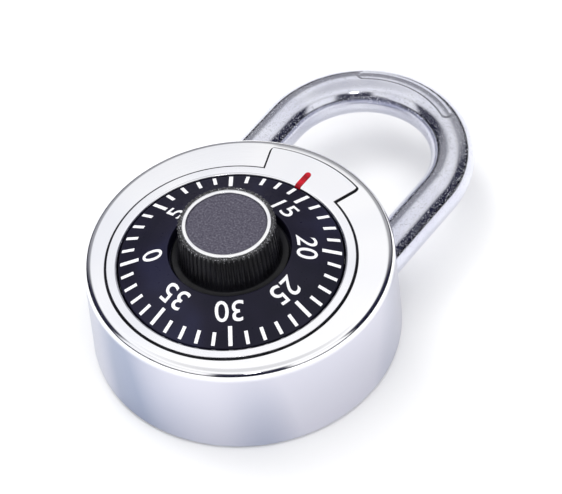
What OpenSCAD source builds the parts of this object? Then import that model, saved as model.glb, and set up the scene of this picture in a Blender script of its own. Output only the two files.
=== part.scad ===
// Dial combination padlock, lying on its back.
// Frame: the origin is the middle of the back cover's rest face, +Z runs out of the dial,
// +Y points to the shackle. The dial axis lies a little below the middle of the case.
// Millimetres.

/* [Case] */
// Diameter of the case at its front shoulder
case_d = 48; // [46:0.5:54]
// Height of the case from the rest face to its front face
case_h = 17.75; // [17.75:0.25:22]
// How much wider the radius is at the back edge than at the shoulder
case_flare = 0.4; // [0:0.1:0.6]
// Radius of the rounded front shoulder
shoulder_r = 1.3; // [0.8:0.1:1.6]
// Thickness of the stainless outer shell
shell_wall = 0.8; // [0.6:0.1:1]
// Thickness of the steel inner case
inner_wall = 1.0; // [0.8:0.1:1.2]
// Thickness of the steel plate that closes the inner case
back_plate_t = 1.2; // [1:0.1:1.4]
// Thickness of the stainless back cover
back_cover_t = 1.0; // [0.8:0.1:1]

/* [Face] */
// Distance of the dial axis below the middle of the case
dial_offset = 2.0; // [1:0.1:2.4]
// Width of the raised ring round the dial
ring_w = 1.7; // [1.4:0.1:2]
// How far the ring and its tab stand above the shell's face
face_rise = 0.3; // [0.1:0.05:0.5]
// Radius of the rounded lip at the dial recess
lip_r = 0.5; // [0.3:0.05:0.6]
// Half the angle of the index tab, seen from the dial axis
tab_half_angle = 20; // [15:1:24]
// Distance of the tab's outer edge from the edge of the case
tab_margin = 2.2; // [1.8:0.1:3]
// Corner radius of the tab
tab_corner_r = 0.7; // [0.3:0.1:1.2]
// Width of the red index mark
mark_w = 1; // [0.6:0.1:1.2]
// Length of the red index mark
mark_l = 3.4; // [2:0.2:3.8]

/* [Dial and knob] */
// Diameter of the dial
dial_d = 34.7; // [33:0.1:35.5]
// Slope of the dial's numbered cone
dial_slope = 20.3; // [14:0.1:22]
// Wall of the dial
dial_wall = 1.4; // [1.2:0.1:1.6]
// Number of divisions round the dial
divisions = 40; // [20:20:60]
// Divisions from one number to the next
number_step = 5; // [5:5:10]
// Reading of the dial under the index mark
index_reading = 14; // [0:1:39]
// Length of a tick at a number
tick_long = 2.95; // [2:0.05:3.2]
// Length of the other ticks
tick_short = 2.0; // [1:0.05:2.4]
// Width of a tick at a number
tick_long_w = 0.62; // [0.4:0.02:0.8]
// Width of the other ticks
tick_short_w = 0.55; // [0.3:0.02:0.7]
// Distance of the ticks from the edge of the dial
tick_margin = 0.3; // [0.2:0.05:0.6]
// Diameter of the round opening in the dial that the knob stands in
hub_d = 19; // [18.8:0.1:21]
// Diameter of the knob's foot
knob_foot_d = 18.4; // [17:0.1:18.4]
// Diameter of the knob above its foot
knob_base_d = 15.8; // [15:0.1:16.6]
// Diameter of the knob at its top
knob_top_d = 15; // [14:0.1:15.4]
// Height of the knob's top above the face of the case
knob_rise = 8.6; // [7.5:0.1:11]
// Number of flutes round the knob
flutes = 60; // [36:2:72]
// Radius of one flute
flute_r = 0.24; // [0.15:0.01:0.3]
// Outer diameter of the bright ring in the knob's top
knob_ring_d = 13.7; // [13:0.1:13.8]
// Radial width of the bright ring
knob_ring_w = 0.68; // [0.4:0.02:1]
// Diameter of the dial spindle
spindle_d = 5; // [4:0.1:5.4]

/* [Shackle] */
// Diameter of the shackle's steel
shackle_d = 7; // [6:0.1:7.4]
// Distance between the middles of the two legs
shackle_span = 29.7; // [29:0.1:30.5]
// Clear height between the case and the inside of the bow
shackle_clear = 19.4; // [16:0.2:50]
// Height of the shackle's middle above the rest face
shackle_z = 9.2; // [8.8:0.1:9.4]
// How far the shackle rises when the lock opens
lift = 12; // [11.5:0.1:12]
// Depth of the toe leg's notch
notch_depth = 1.8; // [1.5:0.1:2]
// Length of the blank stamped panel on the bow, as an angle round the bow
panel_angle = 64; // [30:1:70]
// Width of the stamped panel
panel_w = 2.0; // [1.6:0.1:2.4]
// Depth of the stamped panel
panel_depth = 0.15; // [0.1:0.01:0.2]
// How far the panel leans outwards from the top of the bow
panel_tilt = 6; // [0:1:20]

/* [Mechanism] */
// Diameter of the cam and of both wheels
wheel_d = 18.4; // [17:0.1:19]
// Thickness of the cam
cam_t = 1.5; // [1.2:0.1:1.6]
// Thickness of a wheel
wheel_t = 1.2; // [1:0.1:1.3]
// Width of the gate cut in each wheel
gate_w = 2.6; // [2:0.1:3]
// Depth of the gate
gate_depth = 2.8; // [2:0.1:3]
// Diameter of the fixed post that the wheels turn on
post_d = 6; // [5:0.1:6.2]
// Diameter of a drive pin
drive_pin_d = 1.6; // [1.2:0.1:1.8]
// Distance of the drive pins from the dial axis
drive_pin_r = 6.2; // [5.9:0.1:6.6]
// Diameter of the lever's pivot
pivot_d = 2.6; // [2:0.1:3]
// Thickness of the locking lever
lever_t = 2.4; // [2:0.1:2.8]
// Width of the locking lever's arms
lever_w = 2.6; // [2.2:0.1:3]
// How far the locking lever swings
lever_swing = 20; // [19:0.5:21]
// Wire of the lever spring
spring_wire = 0.5; // [0.4:0.05:0.6]

/* [Fits] */
// Gap between the edge of the dial and its recess
dial_gap = 0.2; // [0.15:0.01:0.4]
// Width of the seam between the shell and the raised face
seam_gap = 0.27; // [0.1:0.01:0.35]
// Gap between nested or stacked sheets
stack_gap = 0.05; // [0.02:0.01:0.08]
// Radial clearance of the spindle, the wheels and the lever on their shafts
running_fit = 0.05; // [0.02:0.01:0.1]
// Radial clearance of the shackle in its guides
shackle_fit = 0.1; // [0.05:0.01:0.15]
// Radial clearance of the shackle in the case
shackle_hole_fit = 0.2; // [0.15:0.01:0.3]
// Gap between moving pieces inside the case
moving_gap = 0.35; // [0.2:0.01:0.4]

/* [Hidden] */
$fn = 96;
eps = 0.01;

steel = [0.78, 0.79, 0.82];
bright = [0.88, 0.89, 0.92];
dark_steel = [0.52, 0.53, 0.56];
brass = [0.78, 0.64, 0.34];
dial_black = [0.10, 0.10, 0.13];
knob_black = [0.07, 0.07, 0.08];
cap_gray = [0.42, 0.41, 0.46];
mark_red = [0.75, 0.08, 0.12];

// Case, from the back to the front
case_r = case_d / 2;
back_r = case_r + case_flare;
foot_r = 0.8;
cover_lift = 0.1;
curl_t = 0.5;
curl_in = case_r - 2.6;
shell_in_r = case_r - shell_wall;
cover_flange_z = cover_lift + curl_t + stack_gap;
cover_panel_r = curl_in - 0.6;
plate_z = cover_flange_z + back_cover_t + stack_gap;
plate_top = plate_z + back_plate_t;
inner_out_r = shell_in_r - 2 * stack_gap;
cavity_r = inner_out_r - inner_wall;
shell_under = case_h - shell_wall;
inner_top = shell_under - stack_gap;
face_z = case_h + face_rise;

// Dial recess
dial_r = dial_d / 2;
recess_r = dial_r + dial_gap;
ring_r = recess_r + ring_w;
dial_edge_z = face_z - 0.15;
dial_under = dial_edge_z - dial_wall + 0.15;
recess_floor = dial_under - 0.95;
pan_under = recess_floor - inner_wall;
collar_l = 1.8;
collar_wall = 1.3;
mark_sunk = 0.25;
mark_proud = 0.08;
paint_t = 0.04;

// Dial and knob
hub_r = hub_d / 2;
rim_r = 0.25;
hub_wall = 0.9;
rim_x = hub_r + rim_r;
rim_z = cone_z(rim_x) - rim_r / cos(dial_slope);
hub_floor = dial_edge_z + 0.7;
dial_boss_r = 5.5;
dial_boss_z = recess_floor + 0.6;
knob_z = hub_floor + stack_gap;
knob_foot_h = 0.9;
knob_recess = 0.6;
knob_ring_proud = 0.17;
knob_ring_edge = 0.12;
knob_cap_t = 0.52;
knob_roof = 1.6;
knob_top = case_h + knob_rise;
knob_ring_r = knob_ring_d / 2;
knob_cap_r = knob_ring_r - knob_ring_w - 0.03;
spindle_r = spindle_d / 2;
spindle_flat = 0.62 * spindle_r;

// Height of the dial's cone at radius r
function cone_z(r) = dial_edge_z + (dial_r - r) * tan(dial_slope);

// Wheel pack, stacked from the back plate towards the dial
wheel_r = wheel_d / 2;
post_r = post_d / 2;
post_flange_r = post_r + 1.6;
post_flange_t = 0.8;
washer_h = 0.9;
rear_z = plate_top + post_flange_t + washer_h + 2 * stack_gap;
pack_gap = 1.1;
middle_z = rear_z + wheel_t + pack_gap;
cam_z = middle_z + wheel_t + pack_gap;
cam_hub_h = 1.3;
clip_t = 0.4;
post_top = middle_z + wheel_t + 0.8;
pin_step = 2 * asin((drive_pin_d / 2 + stack_gap) / drive_pin_r);
pin_start = 150;
pin_clear = 0.2;

// Shackle
shackle_r = shackle_d / 2;
leg_x = shackle_span / 2;
toe_clear = 0.4;
bow_y = case_r + shackle_clear - (leg_x - shackle_r);
toe_end = sqrt(back_r * back_r - (leg_x - shackle_r) * (leg_x - shackle_r)) + toe_clear - lift;
heel_end = -9;
leg_chamfer = 0.8;
stop_ring_r = shackle_r + 1.1;
stop_ring_t = 0.9;
stop_ring_y = heel_end + 2;
stop_groove_r = shackle_r - 0.8;
heel_guide_y = stop_ring_y + stop_ring_t + lift + stack_gap;
guide_wall = 0.9;
toe_guide_gap = 0.4;
toe_guide_l = 4.6;
heel_guide_l = 7;

// Locking lever: it turns about pivot; its hook sits in the toe leg's notch and
// its nose faces the gates of the wheels
pivot = [5, wheel_r + 0.6];
pivot_r = pivot_d / 2;
lever_z = shackle_z - lever_t / 2;
hook_x = leg_x - shackle_r + notch_depth - moving_gap;
hook_y = toe_end + 6;
hook_w = 1.6;
notch_top = hook_y + hook_w / 2 + moving_gap;
notch_x = leg_x - shackle_r + notch_depth;
notch_foot = 0.35;
nose_x = -3;
gate_angle = asin(-nose_x / wheel_r);
rim_y = sqrt(wheel_r * wheel_r - nose_x * nose_x) - dial_offset;
nose_reach = (pivot.x - nose_x) * sin(lever_swing);
nose_y = rim_y + nose_reach + moving_gap;
lever_boss_r = pivot_r + 1.2;
knuckle_r = lever_w / 2 + 0.05;
hook_arm_w = hook_w - 0.1;
spring_z = lever_z + lever_t + 0.25;
spring_turns = 3;
spring_r = pivot_r + 0.6;
spring_pitch = spring_wire + 0.06;
lever_clip_z = spring_z + (spring_turns + 1) * spring_pitch + 0.2;
spring_anchor = pivot + [4.2, -4.2];
spring_post_r = 0.8;
spring_foot = [-0.6, pivot.y - lever_w / 2 - spring_wire / 2 - stack_gap];

module at_dial() {
    translate([0, -dial_offset, 0]) children();
}

module disc(r, z, h) {
    translate([0, 0, z]) cylinder(r = r, h = h);
}

module washer(r_out, r_in, z, h) {
    difference() {
        disc(r_out, z, h);
        disc(r_in, z - 1, h + 2);
    }
}

// Where a line at distance inset inside the tab's side meets the circle of radius r
// about the middle of the case
function tab_corner(r, inset) =
    let (dx = sin(tab_half_angle), dy = cos(tab_half_angle),
         sx = -inset * dy, sy = inset * dx - dial_offset,
         b = sx * dx + sy * dy, c = sx * sx + sy * sy - r * r,
         t = -b + sqrt(b * b - c))
    [sx + t * dx, sy + t * dy];

// The sector between the tab's sides, moved out by grow
module tab_wedge(grow) {
    reach = 2 * case_r;
    drop = grow / sin(tab_half_angle);
    half = (reach + drop) * tan(tab_half_angle);
    polygon([[0, -dial_offset - drop], [half, reach - dial_offset], [-half, reach - dial_offset]]);
}

// Outline of the raised ring and its tab, grown by the seam
module face_outline(grow = 0) {
    r = case_r - tab_margin + grow;
    corner = tab_corner_r + grow;
    p = tab_corner(r - corner, tab_corner_r);
    translate([0, -dial_offset]) circle(r = ring_r + grow);
    intersection() {
        tab_wedge(grow);
        circle(r = r - corner);
    }
    intersection() {
        tab_wedge(grow - corner);
        circle(r = r);
    }
    for (side = [-1, 1]) translate([side * p.x, p.y]) circle(r = corner);
}

module shackle_hole(r) {
    for (side = [-1, 1])
        translate([side * leg_x, toe_end, shackle_z]) rotate([-90, 0, 0]) cylinder(r = r, h = case_d);
}

// Half section of the shell's outside
module shell_section() {
    difference() {
        union() {
            polygon([[0, cover_lift], [back_r - foot_r, cover_lift], [back_r, cover_lift + foot_r],
                     [case_r, case_h - shoulder_r], [case_r - shoulder_r, case_h], [0, case_h]]);
            translate([back_r - foot_r, cover_lift + foot_r]) circle(r = foot_r);
            translate([case_r - shoulder_r, case_h - shoulder_r]) circle(r = shoulder_r);
        }
        translate([-case_r, 0]) square([case_r, case_h + 1]);
        polygon([[0, cover_flange_z - stack_gap], [shell_in_r, cover_flange_z - stack_gap],
                 [shell_in_r, shell_under - shoulder_r / 2], [shell_in_r - shoulder_r / 2, shell_under],
                 [0, shell_under]]);
        square([curl_in, cover_flange_z]);
    }
}

module outer_shell() {
    color(steel) difference() {
        rotate_extrude() shell_section();
        translate([0, 0, shell_under - 1]) linear_extrude(shell_wall + 2) face_outline(seam_gap);
        shackle_hole(shackle_r + shackle_hole_fit);
    }
}

// Half section of the material that the round-over at the dial recess takes away
module lip_section() {
    difference() {
        translate([recess_r - 1, face_z - lip_r]) square([lip_r + 1, lip_r + 1]);
        translate([recess_r + lip_r, face_z - lip_r]) circle(r = lip_r);
        translate([recess_r - 2, face_z - lip_r - 1]) square([1.5, lip_r + 3]);
    }
}

// The index mark follows the rounded lip, half sunk in the ring
module mark_section() {
    difference() {
        union() {
            translate([recess_r + lip_r, face_z - mark_sunk]) square([mark_l + 1, mark_sunk + mark_proud]);
            intersection() {
                translate([recess_r + lip_r, face_z - lip_r]) circle(r = lip_r + mark_proud);
                translate([recess_r, face_z - lip_r]) square([lip_r, lip_r + mark_proud]);
            }
        }
        translate([recess_r + lip_r, face_z - lip_r]) circle(r = lip_r - mark_sunk);
    }
}

module mark_body() {
    end = recess_r + mark_l - mark_w / 2;
    at_dial() intersection() {
        rotate_extrude() mark_section();
        linear_extrude(2 * case_h) union() {
            translate([-mark_w / 2, 0]) square([mark_w, end]);
            translate([0, end]) circle(r = mark_w / 2);
        }
    }
}

module inner_case() {
    chamfer = shoulder_r / 2;
    collar_r = spindle_r + running_fit + collar_wall;
    sheet_in_r = ring_r - dial_offset - 1;
    color(bright) difference() {
        union() {
            rotate_extrude() polygon([[cavity_r, plate_top + stack_gap], [inner_out_r, plate_top + stack_gap],
                                      [inner_out_r, inner_top - chamfer], [inner_out_r - chamfer, inner_top],
                                      [sheet_in_r, inner_top], [sheet_in_r, inner_top - inner_wall],
                                      [cavity_r, inner_top - inner_wall]]);
            translate([0, 0, inner_top - inner_wall]) linear_extrude(face_z - inner_top + inner_wall)
                face_outline();
            at_dial() {
                disc(ring_r, pan_under, face_z - pan_under - face_rise);
                disc(collar_r, pan_under - collar_l, collar_l + eps);
            }
        }
        at_dial() {
            disc(recess_r, recess_floor, case_h);
            disc(spindle_r + running_fit, 0, case_h);
            rotate_extrude() lip_section();
        }
        mark_body();
        shackle_hole(shackle_r + shackle_hole_fit);
    }
}

module back_plate() {
    color(dark_steel) difference() {
        disc(inner_out_r, plate_z, back_plate_t);
        at_dial() disc(post_r - 1, plate_z - 1, back_plate_t + 2);
        translate(pivot) disc(pivot_r, plate_z - 1, back_plate_t + 2);
        translate(spring_anchor) disc(spring_post_r, plate_z - 1, back_plate_t + 2);
    }
}

module back_cover() {
    color(steel) rotate_extrude() polygon([
        [0, 0], [cover_panel_r - 0.3, 0], [cover_panel_r, 0.3], [cover_panel_r, cover_flange_z],
        [inner_out_r, cover_flange_z], [inner_out_r, cover_flange_z + back_cover_t],
        [cover_panel_r - back_cover_t, cover_flange_z + back_cover_t],
        [cover_panel_r - back_cover_t, back_cover_t], [0, back_cover_t]]);
}

module index_mark() {
    color(mark_red) mark_body();
}

module dial() {
    under = dial_wall / cos(dial_slope);
    rim_top = rim_z + rim_r * cos(dial_slope);
    cone_x = rim_x + rim_r * sin(dial_slope);
    color(dial_black) at_dial() rotate_extrude() {
        polygon([
            [spindle_r + stack_gap, dial_boss_z], [dial_boss_r, dial_boss_z],
            [dial_boss_r, hub_floor - dial_wall], [hub_r + hub_wall, hub_floor - dial_wall],
            [hub_r + hub_wall, cone_z(hub_r + hub_wall) - under], [dial_r - 0.6, dial_under], [dial_r, dial_under],
            [dial_r, dial_edge_z - 0.1], [dial_r - 0.1, cone_z(dial_r - 0.1)],
            [cone_x, rim_top], [rim_x, rim_z], [hub_r, rim_z], [hub_r, hub_floor],
            [spindle_r + stack_gap, hub_floor]]);
        translate([rim_x, rim_z]) circle(r = rim_r);
    }
}

// White painted ticks, a long one at every number
module dial_ticks() {
    far = dial_r - tick_margin;
    near = far - tick_long;
    color("white") at_dial() intersection() {
        rotate_extrude() polygon([[near - 1, cone_z(near - 1)], [far, cone_z(far)],
                                  [far, cone_z(far) + paint_t], [near - 1, cone_z(near - 1) + paint_t]]);
        for (i = [0 : divisions - 1]) {
            long = i % number_step == 0;
            w = long ? tick_long_w : tick_short_w;
            start = far - (long ? tick_long : tick_short);
            rotate([0, 0, -(i - index_reading) * 360 / divisions])
                translate([-w / 2, start, hub_floor - dial_wall]) cube([w, far - start + 1, 2 * dial_wall + dial_r]);
        }
    }
}

module knob() {
    flange_r = knob_foot_d / 2;
    base_r = knob_base_d / 2;
    top_r = knob_top_d / 2;
    side_z = knob_z + knob_foot_h;
    side_h = knob_top - side_z;
    lean = atan((base_r - top_r) / side_h);
    bevel = 0.35;
    color(knob_black) at_dial() difference() {
        rotate_extrude() polygon([
            [0, knob_z], [flange_r - bevel / 2, knob_z], [flange_r, knob_z + bevel / 2],
            [flange_r, side_z - bevel], [flange_r - bevel, side_z - 0.05], [base_r + bevel, side_z],
            [base_r, side_z + bevel], [top_r, knob_top - bevel], [top_r - bevel, knob_top], [0, knob_top]]);
        disc(spindle_r + stack_gap, knob_z - 1, knob_top - knob_roof - knob_z + 1);
        disc(knob_ring_r, knob_top - knob_recess, 1);
        for (i = [0 : flutes - 1]) rotate([0, 0, i * 360 / flutes])
            translate([base_r, 0, side_z + bevel]) rotate([0, -lean, 0])
                cylinder(r = flute_r, h = side_h + 1, $fn = 16);
    }
}

module knob_ring() {
    top = knob_top + knob_ring_proud;
    color(bright) at_dial() rotate_extrude() polygon([
        [knob_ring_r - knob_ring_w, knob_top - knob_recess], [knob_ring_r, knob_top - knob_recess],
        [knob_ring_r, top - knob_ring_edge], [knob_ring_r - knob_ring_edge, top],
        [knob_ring_r - knob_ring_w + knob_ring_edge, top],
        [knob_ring_r - knob_ring_w, top - knob_ring_edge]]);
}

module knob_cap() {
    color(cap_gray) at_dial() disc(knob_cap_r, knob_top - knob_recess, knob_cap_t);
}

module spindle() {
    color(dark_steel) at_dial() {
        disc(spindle_r, cam_z + cam_t + 0.02, knob_top - knob_roof - 0.1 - cam_z - cam_t);
        translate([-spindle_flat, -spindle_flat, cam_z]) cube([2 * spindle_flat, 2 * spindle_flat, cam_t + 0.1]);
    }
}

module dial_spring_washer() {
    low = recess_floor + 0.02;
    color(dark_steel) at_dial() rotate_extrude() polygon([
        [spindle_r + 0.4, low + 0.28], [spindle_r + 0.4, low + 0.53],
        [dial_boss_r, low + 0.25], [dial_boss_r, low]]);
}

// A disc with one gate, cut where the lever's nose faces it
module gated_disc(z, t) {
    difference() {
        disc(wheel_r, z, t);
        rotate([0, 0, gate_angle]) translate([-gate_w / 2, wheel_r - gate_depth, z - 1])
            cube([gate_w, gate_depth + 1, t + 2]);
    }
}

module drive_pin(step, z, h, grow = 0) {
    rotate([0, 0, pin_start + step * pin_step]) translate([drive_pin_r, 0, z])
        cylinder(d = drive_pin_d + 2 * grow, h = h);
}

module drive_cam() {
    color(brass) at_dial() difference() {
        union() {
            gated_disc(cam_z, cam_t);
            disc(spindle_r + 1.2, cam_z, cam_t + cam_hub_h);
        }
        disc(spindle_r + stack_gap, cam_z + cam_t, cam_hub_h + 1);
        translate([-spindle_flat - stack_gap, -spindle_flat - stack_gap, cam_z - 1])
            cube([2 * spindle_flat + 2 * stack_gap, 2 * spindle_flat + 2 * stack_gap, cam_t + 2]);
        drive_pin(0, cam_z - 1, cam_t + 2, stack_gap);
    }
}

module cam_drive_pin() {
    color(dark_steel) at_dial() drive_pin(0, cam_z - pack_gap + pin_clear, pack_gap - pin_clear + cam_t);
}

module wheel(z, step) {
    at_dial() difference() {
        gated_disc(z, wheel_t);
        disc(post_r + running_fit, z - 1, wheel_t + 2);
        drive_pin(step, z - 1, wheel_t + 2, stack_gap);
    }
}

module middle_wheel() {
    color(brass) wheel(middle_z, 1);
}

module middle_wheel_pin() {
    color(dark_steel) at_dial() drive_pin(1, middle_z - pack_gap + pin_clear, wheel_t + 2 * (pack_gap - pin_clear));
}

module rear_wheel() {
    color(brass) wheel(rear_z, 2);
}

module rear_wheel_pin() {
    color(dark_steel) at_dial() drive_pin(2, rear_z, wheel_t + pack_gap - pin_clear);
}

module wheel_post() {
    color(dark_steel) at_dial() difference() {
        union() {
            disc(post_r - 1, plate_z, back_plate_t + eps);
            disc(post_flange_r, plate_top, post_flange_t);
            disc(post_r, plate_top, post_top - plate_top);
        }
        translate([0, 0, middle_z + wheel_t + stack_gap]) difference() {
            cylinder(r = post_r + 1, h = clip_t + stack_gap);
            cylinder(r = post_r - 0.5, h = clip_t + stack_gap);
        }
    }
}

module wheel_spacer() {
    color(brass) at_dial()
        washer(post_r + 1.3, post_r + running_fit, rear_z + wheel_t + stack_gap, pack_gap - 2 * stack_gap);
}

// An open clip pushed on from the side into a groove
module open_clip(r_out, r_in, z, h) {
    difference() {
        washer(r_out, r_in, z, h);
        translate([-r_in * 0.7, 0, z - 1]) cube([r_in * 1.4, r_out + 1, h + 2]);
    }
}

module wheel_clip() {
    color(steel) at_dial() rotate([0, 0, 200])
        open_clip(post_r + 1.2, post_r - 0.45, middle_z + wheel_t + 1.5 * stack_gap, clip_t);
}

module tension_washer() {
    low = plate_top + post_flange_t + stack_gap;
    color(steel) at_dial() rotate_extrude() polygon([
        [post_r + 0.1, low + washer_h - 0.35], [post_r + 0.1, low + washer_h],
        [post_flange_r, low + 0.35], [post_flange_r, low]]);
}

// An arm of the lever, from a to b
module arm(a, b, w, z, h) {
    d = b - a;
    translate([a.x, a.y, z]) rotate([0, 0, atan2(d.y, d.x)]) translate([0, -w / 2, 0]) cube([norm(d), w, h]);
}

module locking_lever() {
    knee = [hook_x - 3.2, hook_y];
    nose_foot = nose_y + knuckle_r;
    nose_bottom = rear_z;
    color(dark_steel) difference() {
        union() {
            translate(pivot) disc(lever_boss_r, lever_z, lever_t);
            arm(pivot, knee, lever_w, lever_z, lever_t);
            translate(knee) disc(knuckle_r, lever_z, lever_t);
            arm(knee, [hook_x - hook_w / 2, hook_y], hook_arm_w, lever_z, lever_t);
            translate([hook_x - hook_w / 2, hook_y]) disc(hook_w / 2, lever_z, lever_t);
            arm(pivot, [nose_x, nose_foot], lever_w, lever_z, lever_t);
            translate([nose_x, nose_foot]) disc(knuckle_r, lever_z, lever_t);
            translate([nose_x - gate_w / 2 + moving_gap, nose_y, nose_bottom])
                cube([gate_w - 2 * moving_gap, lever_w / 2, cam_z + cam_t - nose_bottom]);
        }
        translate(pivot) disc(pivot_r + running_fit, lever_z - 1, lever_t + 2);
    }
}

module lever_pivot() {
    seat_r = pivot_r + 0.8;
    top = lever_clip_z + clip_t + 0.6;
    color(steel) translate(pivot) difference() {
        union() {
            disc(pivot_r, plate_z, top - plate_z);
            disc(seat_r, plate_top, lever_z - stack_gap - plate_top);
        }
        translate([0, 0, lever_clip_z - stack_gap / 2]) difference() {
            cylinder(r = pivot_r + 1, h = clip_t + stack_gap);
            cylinder(r = pivot_r - 0.35, h = clip_t + stack_gap);
        }
    }
}

module lever_clip() {
    color(steel) translate(pivot) rotate([0, 0, 120]) open_clip(pivot_r + 1, pivot_r - 0.3, lever_clip_z, clip_t);
}

// Points of the spring wire: a leg to the anchor post, the turns round the pivot and
// a leg that ends against the nose arm
function spring_line(n = 16) =
    let (a0 = atan2(spring_anchor.y - pivot.y, spring_anchor.x - pivot.x),
         a1 = atan2(spring_foot.y - pivot.y, spring_foot.x - pivot.x),
         sweep = spring_turns * 360 + (a1 - a0),
         top = spring_z + (spring_turns + 0.5) * spring_pitch)
    concat(
        [[spring_anchor.x, spring_anchor.y + spring_post_r + spring_wire / 2 + stack_gap, top]],
        [for (i = [0 : n * spring_turns]) let (f = i / (n * spring_turns), a = a0 + 60 + (sweep - 120) * f)
            [pivot.x + spring_r * cos(a), pivot.y + spring_r * sin(a), top - f * (top - spring_z - spring_wire / 2)]],
        [[spring_foot.x, spring_foot.y, spring_z + spring_wire / 2]]);

module lever_spring() {
    line = spring_line();
    sides = 6;
    last = len(line) - 1;
    function along(i) = line[min(i + 1, last)] - line[max(i - 1, 0)];
    function flat(v) = [v.y, -v.x, 0] / norm([v.x, v.y]);
    rings = [for (i = [0 : last]) let (t = along(i) / norm(along(i)), u = flat(t), w = cross(u, t))
        for (k = [0 : sides - 1]) line[i] + spring_wire / 2 * (cos(k * 360 / sides) * u + sin(k * 360 / sides) * w)];
    faces = concat(
        [[for (k = [0 : sides - 1]) k]],
        [for (i = [0 : last - 1], k = [0 : sides - 1])
            [i * sides + k, (i + 1) * sides + k, (i + 1) * sides + (k + 1) % sides, i * sides + (k + 1) % sides]],
        [[for (k = [sides - 1 : -1 : 0]) last * sides + k]]);
    color(steel) polyhedron(rings, faces, convexity = 10);
}

module spring_post() {
    color(steel) translate(spring_anchor) disc(spring_post_r, plate_z, lever_clip_z - plate_z);
}

module leg(side, end) {
    l = bow_y - end;
    translate([side * leg_x, bow_y, shackle_z]) rotate([90, 0, 0]) rotate_extrude() polygon([
        [0, 0], [shackle_r, 0], [shackle_r, l - leg_chamfer], [shackle_r - leg_chamfer, l], [0, l]]);
}

// The blank stamped panel: a shallow band with round ends along the top of the bow
module panel_cut() {
    translate([0, bow_y, shackle_z]) {
        rotate([0, 0, 90 - panel_angle / 2]) rotate_extrude(angle = panel_angle)
            translate([leg_x, 0]) rotate(90 - panel_tilt) translate([shackle_r - panel_depth, -panel_w / 2])
                square([1, panel_w]);
        for (side = [-1, 1]) rotate([0, 0, 90 + side * panel_angle / 2]) translate([leg_x, 0, 0])
            rotate([0, panel_tilt, 0]) translate([0, 0, shackle_r - panel_depth])
                cylinder(r = panel_w / 2, h = 1);
    }
}

module shackle() {
    notch_h = lever_t + 2 * moving_gap;
    color(bright) difference() {
        union() {
            translate([0, bow_y, shackle_z]) rotate_extrude(angle = 180) translate([leg_x, 0]) circle(r = shackle_r);
            leg(1, toe_end);
            leg(-1, heel_end);
        }
        panel_cut();
        translate([0, 0, shackle_z - notch_h / 2]) linear_extrude(notch_h) polygon([
            [leg_x - shackle_r - 1, notch_top], [notch_x, notch_top], [notch_x, hook_y - hook_w / 2 - moving_gap],
            [leg_x - shackle_r + notch_foot, toe_end - 1], [leg_x - shackle_r - 1, toe_end - 1]]);
        translate([-leg_x, stop_ring_y, shackle_z]) rotate([-90, 0, 0]) difference() {
            cylinder(r = shackle_r + 1, h = stop_ring_t);
            cylinder(r = stop_groove_r, h = stop_ring_t);
        }
    }
}

module shackle_retaining_ring() {
    color(dark_steel) translate([-leg_x, stop_ring_y + stack_gap / 2, shackle_z]) rotate([-90, 0, 0])
        difference() {
            cylinder(r = stop_ring_r, h = stop_ring_t - stack_gap);
            translate([0, 0, -1]) cylinder(r = stop_groove_r + stack_gap, h = stop_ring_t + 2);
            translate([-1.2, 0, -1]) cube([2.4, stop_ring_r + 1, stop_ring_t + 2]);
        }
}

module shackle_guides() {
    low = plate_top + stack_gap;
    high = pan_under - stack_gap;
    inner_x = leg_x - shackle_r - guide_wall;
    color(dark_steel) difference() {
        intersection() {
            disc(cavity_r - stack_gap, low, high - low);
            union() {
                translate([inner_x, toe_end + toe_guide_gap, low]) cube([case_r, toe_guide_l, high - low]);
                translate([-inner_x - case_r, heel_guide_y, low]) cube([case_r, heel_guide_l, high - low]);
            }
        }
        for (side = [-1, 1]) translate([side * leg_x, 0, shackle_z]) rotate([-90, 0, 0])
            cylinder(r = shackle_r + shackle_fit, h = case_d);
        translate([0, 0, lever_z - moving_gap]) cube([notch_x + moving_gap, case_r, lever_t + 2 * moving_gap]);
    }
}

outer_shell();
inner_case();
back_plate();
back_cover();
index_mark();
dial();
dial_ticks();
knob();
knob_ring();
knob_cap();
spindle();
dial_spring_washer();
drive_cam();
cam_drive_pin();
middle_wheel();
middle_wheel_pin();
rear_wheel();
rear_wheel_pin();
wheel_post();
wheel_spacer();
wheel_clip();
tension_washer();
locking_lever();
lever_pivot();
lever_clip();
lever_spring();
spring_post();
shackle();
shackle_retaining_ring();
shackle_guides();
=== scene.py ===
import math

import bmesh
import bpy
from mathutils import Matrix, Quaternion, Vector


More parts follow.
